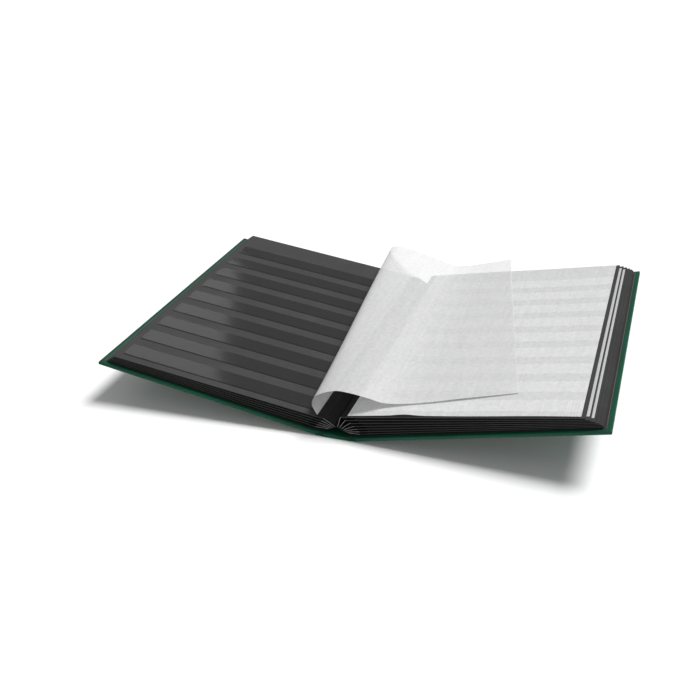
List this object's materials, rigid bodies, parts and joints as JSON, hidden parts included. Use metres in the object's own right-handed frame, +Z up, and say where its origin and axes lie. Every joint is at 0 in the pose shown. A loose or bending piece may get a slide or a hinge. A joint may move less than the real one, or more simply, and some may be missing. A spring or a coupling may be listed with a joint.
{
  "type": "stamp stockbook",
  "caption": "Hardcover stamp stockbook open on its spine, with linen-hinged black card leaves, clear film strips and glassine interleaves.",
  "frame": {"origin": "middle of the spine's outer face, which the open book rests on", "axes": "+X across the open book towards the back cover, +Y from tail to head, +Z up"},
  "size_m": [0.4726, 0.3258, 0.0595],
  "materials": {
    "greyboard": "pressed grey board",
    "green_covering": "grained dark green covering, satin",
    "black_paper": "matt black paper",
    "black_card": "matt black card",
    "clear_film": "clear glossy film",
    "black_linen": "fine black linen tape",
    "glassine": "translucent white glazed paper"
  },
  "bodies": {
    "spine": {"spine_board": "greyboard", "spine_cloth": "green_covering", "spine_lining": "green_covering", "block_back": "black_linen", "interleaf_left_curl": "glassine", "front_joint_cloth": "green_covering", "front_endpaper_hinge": "black_linen", "front_leaf_hinges": "black_linen", "back_joint_cloth": "green_covering", "back_endpaper_hinge": "black_linen", "back_leaf_hinges": "black_linen"},
    "front_cover": {"front_board": "greyboard", "front_cloth": "green_covering", "front_pastedown": "black_paper"},
    "leaf_05": {"leaf_05_card": "black_card", "leaf_05_strips": "clear_film", "leaf_05_interleaves": "glassine"},
    "leaf_04": {"leaf_04_card": "black_card", "leaf_04_strips": "clear_film", "leaf_04_interleaves": "glassine"},
    "leaf_03": {"leaf_03_card": "black_card", "leaf_03_strips": "clear_film", "leaf_03_interleaves": "glassine"},
    "leaf_02": {"leaf_02_card": "black_card", "leaf_02_strips": "clear_film", "leaf_02_interleaves": "glassine"},
    "leaf_01": {"leaf_01_card": "black_card", "leaf_01_strips": "clear_film", "leaf_01_interleaves": "glassine"},
    "back_cover": {"back_board": "greyboard", "back_cloth": "green_covering", "back_pastedown": "black_paper"},
    "leaf_06": {"leaf_06_card": "black_card", "leaf_06_strips": "clear_film", "leaf_06_interleaves": "glassine"},
    "leaf_07": {"leaf_07_card": "black_card", "leaf_07_strips": "clear_film", "leaf_07_interleaves": "glassine"},
    "leaf_08": {"leaf_08_card": "black_card", "leaf_08_strips": "clear_film", "leaf_08_interleaves": "glassine"},
    "leaf_09": {"leaf_09_card": "black_card", "leaf_09_strips": "clear_film", "leaf_09_interleaves": "glassine"},
    "leaf_10": {"leaf_10_card": "black_card", "leaf_10_strips": "clear_film", "leaf_10_interleaves": "glassine"},
    "leaf_11": {"leaf_11_card": "black_card", "leaf_11_strips": "clear_film", "leaf_11_interleaves": "glassine"},
    "leaf_12": {"leaf_12_card": "black_card", "leaf_12_strips": "clear_film", "leaf_12_interleaves": "glassine"},
    "interleaf_left": {"interleaf_left": "glassine"},
    "interleaf_right": {"interleaf_right": "glassine"}
  },
  "joints": [
    {"name": "front_cover_hinge", "type": "hinge", "parent": "spine", "child": "front_cover", "pos_m": [-0.0155, 0, 0.0018], "axis": [0, 1, 0], "range_deg": [-10, 80], "deforming": ["front_joint_cloth", "front_endpaper_hinge", "front_leaf_hinges", "interleaf_left_curl"]},
    {"name": "leaf_05_hinge", "type": "hinge", "parent": "spine", "child": "leaf_05", "pos_m": [-0.01225, 0, 0.0109], "axis": [0, 1, 0], "range_deg": [-10.23, 81.5]},
    {"name": "leaf_04_hinge", "type": "hinge", "parent": "spine", "child": "leaf_04", "pos_m": [-0.01285, 0, 0.0092], "axis": [0, 1, 0], "range_deg": [-10.19, 81.2]},
    {"name": "leaf_03_hinge", "type": "hinge", "parent": "spine", "child": "leaf_03", "pos_m": [-0.01345, 0, 0.00748], "axis": [0, 1, 0], "range_deg": [-10.16, 80.9]},
    {"name": "leaf_02_hinge", "type": "hinge", "parent": "spine", "child": "leaf_02", "pos_m": [-0.01403, 0, 0.00577], "axis": [0, 1, 0], "range_deg": [-10.12, 80.6]},
    {"name": "leaf_01_hinge", "type": "hinge", "parent": "spine", "child": "leaf_01", "pos_m": [-0.0146, 0, 0.00405], "axis": [0, 1, 0], "range_deg": [-10.08, 80.3]},
    {"name": "back_cover_hinge", "type": "hinge", "parent": "spine", "child": "back_cover", "pos_m": [0.0155, 0, 0.0018], "axis": [0, -1, 0], "range_deg": [-12.9, 77.1], "deforming": ["back_joint_cloth", "back_endpaper_hinge", "back_leaf_hinges"]},
    {"name": "leaf_06_hinge", "type": "hinge", "parent": "spine", "child": "leaf_06", "pos_m": [0.0103, 0, 0.01636], "axis": [0, -1, 0], "range_deg": [-13.38, 79.71]},
    {"name": "leaf_07_hinge", "type": "hinge", "parent": "spine", "child": "leaf_07", "pos_m": [0.01189, 0, 0.01326], "axis": [0, -1, 0], "range_deg": [-13.31, 79.29]},
    {"name": "leaf_08_hinge", "type": "hinge", "parent": "spine", "child": "leaf_08", "pos_m": [0.01332, 0, 0.01031], "axis": [0, -1, 0], "range_deg": [-13.23, 78.86]},
    {"name": "leaf_09_hinge", "type": "hinge", "parent": "spine", "child": "leaf_09", "pos_m": [0.01444, 0, 0.00769], "axis": [0, -1, 0], "range_deg": [-13.16, 78.42]},
    {"name": "leaf_10_hinge", "type": "hinge", "parent": "spine", "child": "leaf_10", "pos_m": [0.01515, 0, 0.00553], "axis": [0, -1, 0], "range_deg": [-13.09, 78]},
    {"name": "leaf_11_hinge", "type": "hinge", "parent": "spine", "child": "leaf_11", "pos_m": [0.01535, 0, 0.00398], "axis": [0, -1, 0], "range_deg": [-13.03, 77.61]},
    {"name": "leaf_12_hinge", "type": "hinge", "parent": "spine", "child": "leaf_12", "pos_m": [0.015, 0, 0.0031], "axis": [0, -1, 0], "range_deg": [-12.97, 77.25]},
    {"name": "interleaf_left_turn", "type": "hinge", "parent": "leaf_06", "child": "interleaf_left", "pos_m": [0.02242, 0, 0.02588], "axis": [0, 1, 0], "range_deg": [-3.5, 0]},
    {"name": "interleaf_right_turn", "type": "hinge", "parent": "leaf_06", "child": "interleaf_right", "pos_m": [0.01031, 0, 0.02261], "axis": [0, 1, 0], "range_deg": [-0.4, 0]}
  ],
  "couplings": [
    {"joint": "leaf_05_hinge", "follows": "front_cover_hinge", "ratio": 1.0181},
    {"joint": "leaf_04_hinge", "follows": "front_cover_hinge", "ratio": 1.0143},
    {"joint": "leaf_03_hinge", "follows": "front_cover_hinge", "ratio": 1.0106},
    {"joint": "leaf_02_hinge", "follows": "front_cover_hinge", "ratio": 1.0069},
    {"joint": "leaf_01_hinge", "follows": "front_cover_hinge", "ratio": 1.0032},
    {"joint": "leaf_06_hinge", "follows": "back_cover_hinge", "ratio": 1.0332},
    {"joint": "leaf_07_hinge", "follows": "back_cover_hinge", "ratio": 1.0278},
    {"joint": "leaf_08_hinge", "follows": "back_cover_hinge", "ratio": 1.0221},
    {"joint": "leaf_09_hinge", "follows": "back_cover_hinge", "ratio": 1.0165},
    {"joint": "leaf_10_hinge", "follows": "back_cover_hinge", "ratio": 1.011},
    {"joint": "leaf_11_hinge", "follows": "back_cover_hinge", "ratio": 1.0059},
    {"joint": "leaf_12_hinge", "follows": "back_cover_hinge", "ratio": 1.0013},
    {"joint": "interleaf_right_turn", "follows": "interleaf_left_turn", "ratio": 0.1}
  ]
}
